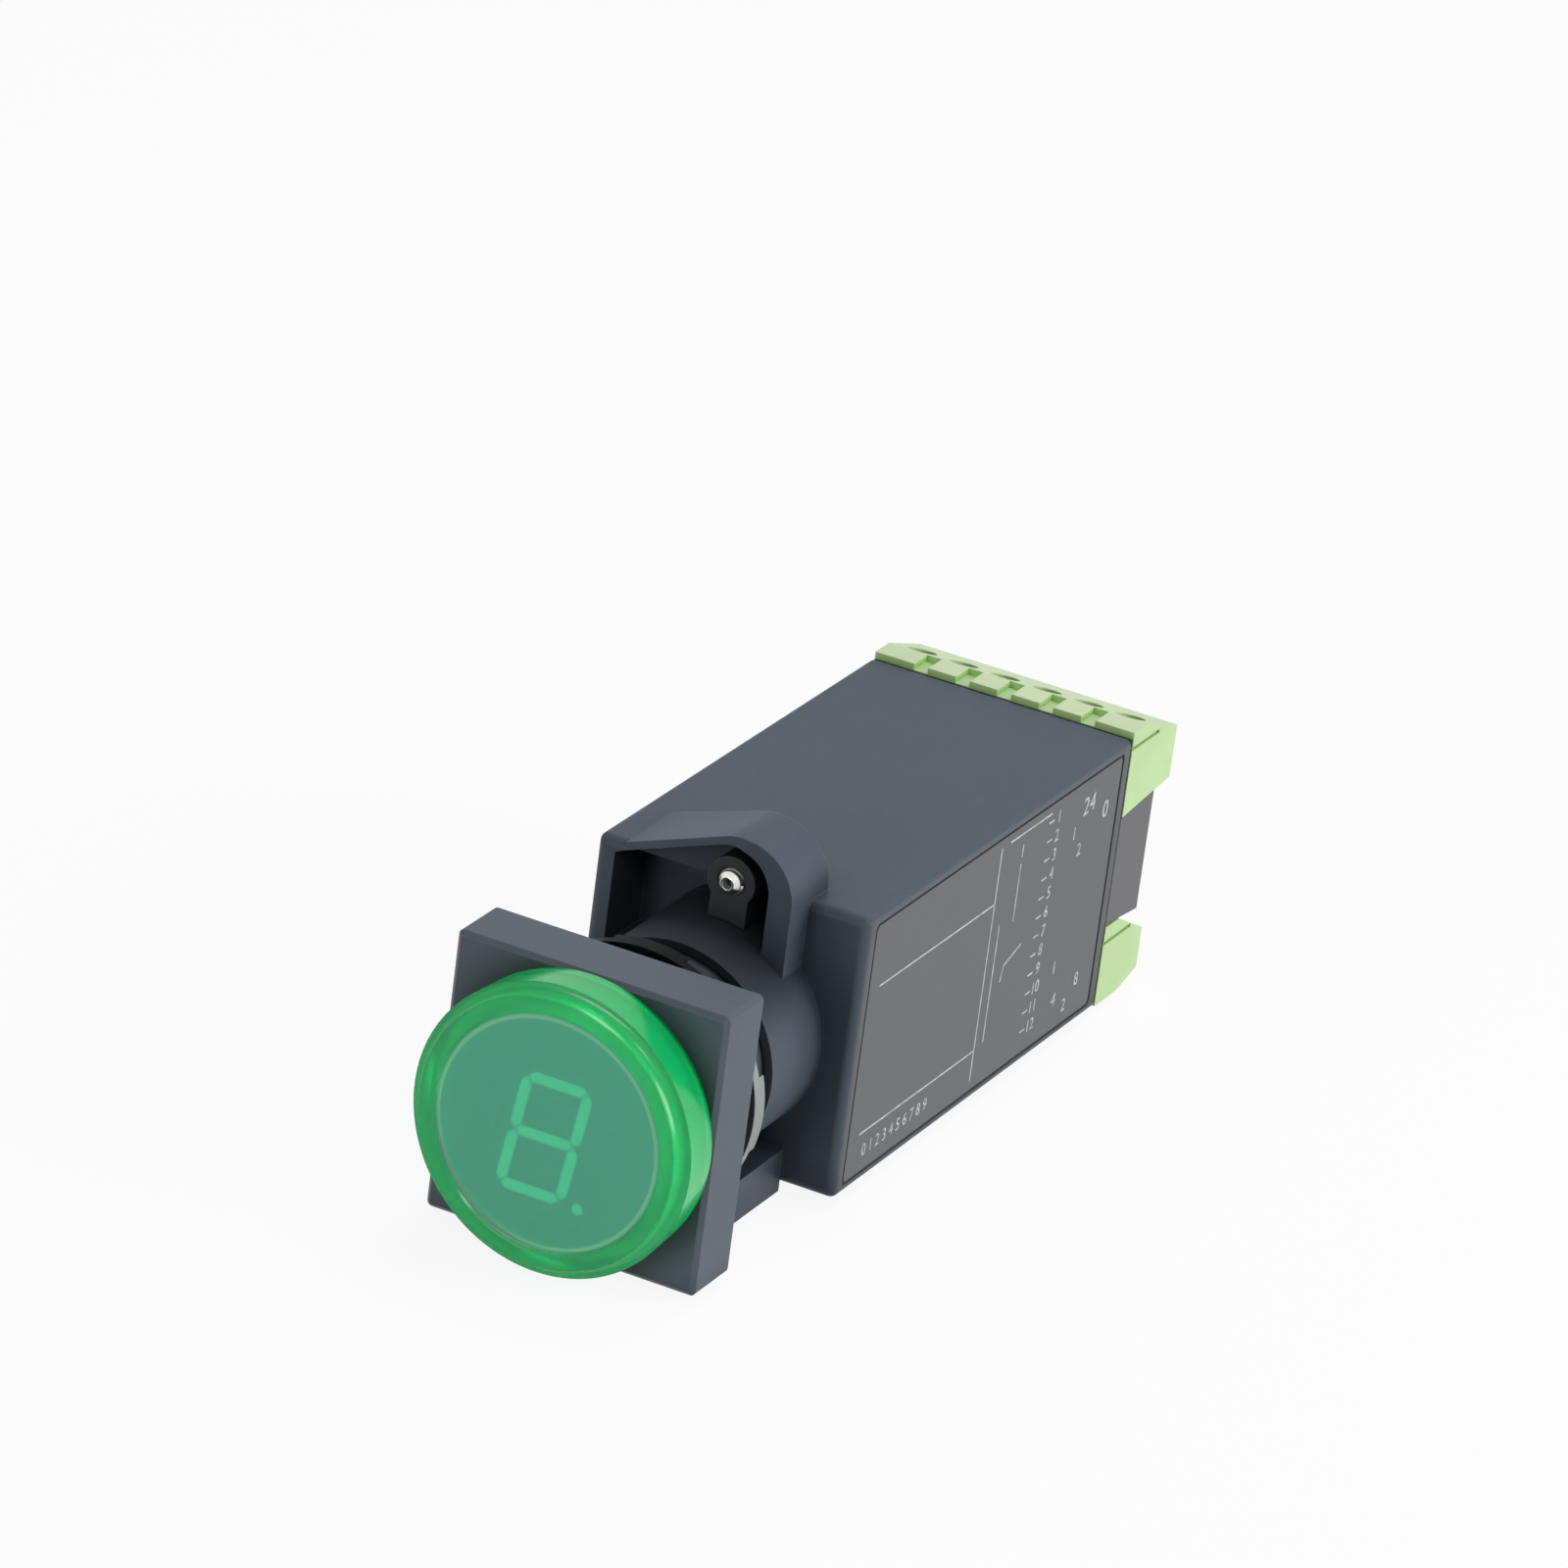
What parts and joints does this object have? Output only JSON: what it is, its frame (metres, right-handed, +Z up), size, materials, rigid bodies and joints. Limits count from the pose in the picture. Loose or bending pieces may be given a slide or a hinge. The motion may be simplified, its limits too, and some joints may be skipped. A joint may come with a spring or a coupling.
{
  "type": "digital display",
  "caption": "Panel-mounted single-digit display with a round green lens, square bezel, rear clamp screw and pluggable terminals.",
  "frame": {"origin": "on the axis of the barrel, in the plane where the bezel seats on the panel", "axes": "+X to the right as the digit is read, +Y backwards into the panel along the barrel, +Z up"},
  "size_m": [0.0314, 0.1094, 0.0388],
  "materials": {
    "slate_plastic": "satin",
    "black_plastic": "satin",
    "green_lens": "gloss",
    "rubber_seal": "matte",
    "plated_ring": "satin",
    "segment_resin": "satin",
    "dark_face": "satin",
    "board_laminate": "satin",
    "plated_steel": "satin",
    "tinned_pin": "satin",
    "green_plastic": "satin",
    "blue_body": "satin",
    "sand_body": "satin",
    "label_film": "satin"
  },
  "bodies": {
    "root": {"bezel": "slate_plastic", "capacitor": "blue_body", "clamp_block": "black_plastic", "decimal_point": "segment_resin", "display_board": "board_laminate", "display_pins": "tinned_pin", "driver_chip": "black_plastic", "faceplate": "dark_face", "fixing_screw": "plated_steel", "housing": "slate_plastic", "lens_cap": "green_lens", "lens_seal": "rubber_seal", "link_header": "black_plastic", "lower_cages": "plated_steel", "lower_header": "green_plastic", "lower_pins": "tinned_pin", "lower_plug": "green_plastic", "lower_screws": "plated_steel", "main_board": "board_laminate", "panel_seal": "rubber_seal", "rear_cover": "black_plastic", "reflector": "dark_face", "regulator": "black_plastic", "resistor_row": "sand_body", "segment_a": "segment_resin", "segment_b": "segment_resin", "segment_c": "segment_resin", "segment_d": "segment_resin", "segment_e": "segment_resin", "segment_f": "segment_resin", "segment_g": "segment_resin", "side_label": "label_film", "terminal_board": "board_laminate", "thrust_ring": "plated_ring", "upper_cages": "plated_steel", "upper_header": "green_plastic", "upper_pins": "tinned_pin", "upper_plug": "green_plastic", "upper_screws": "plated_steel"}
  },
  "joints": []
}
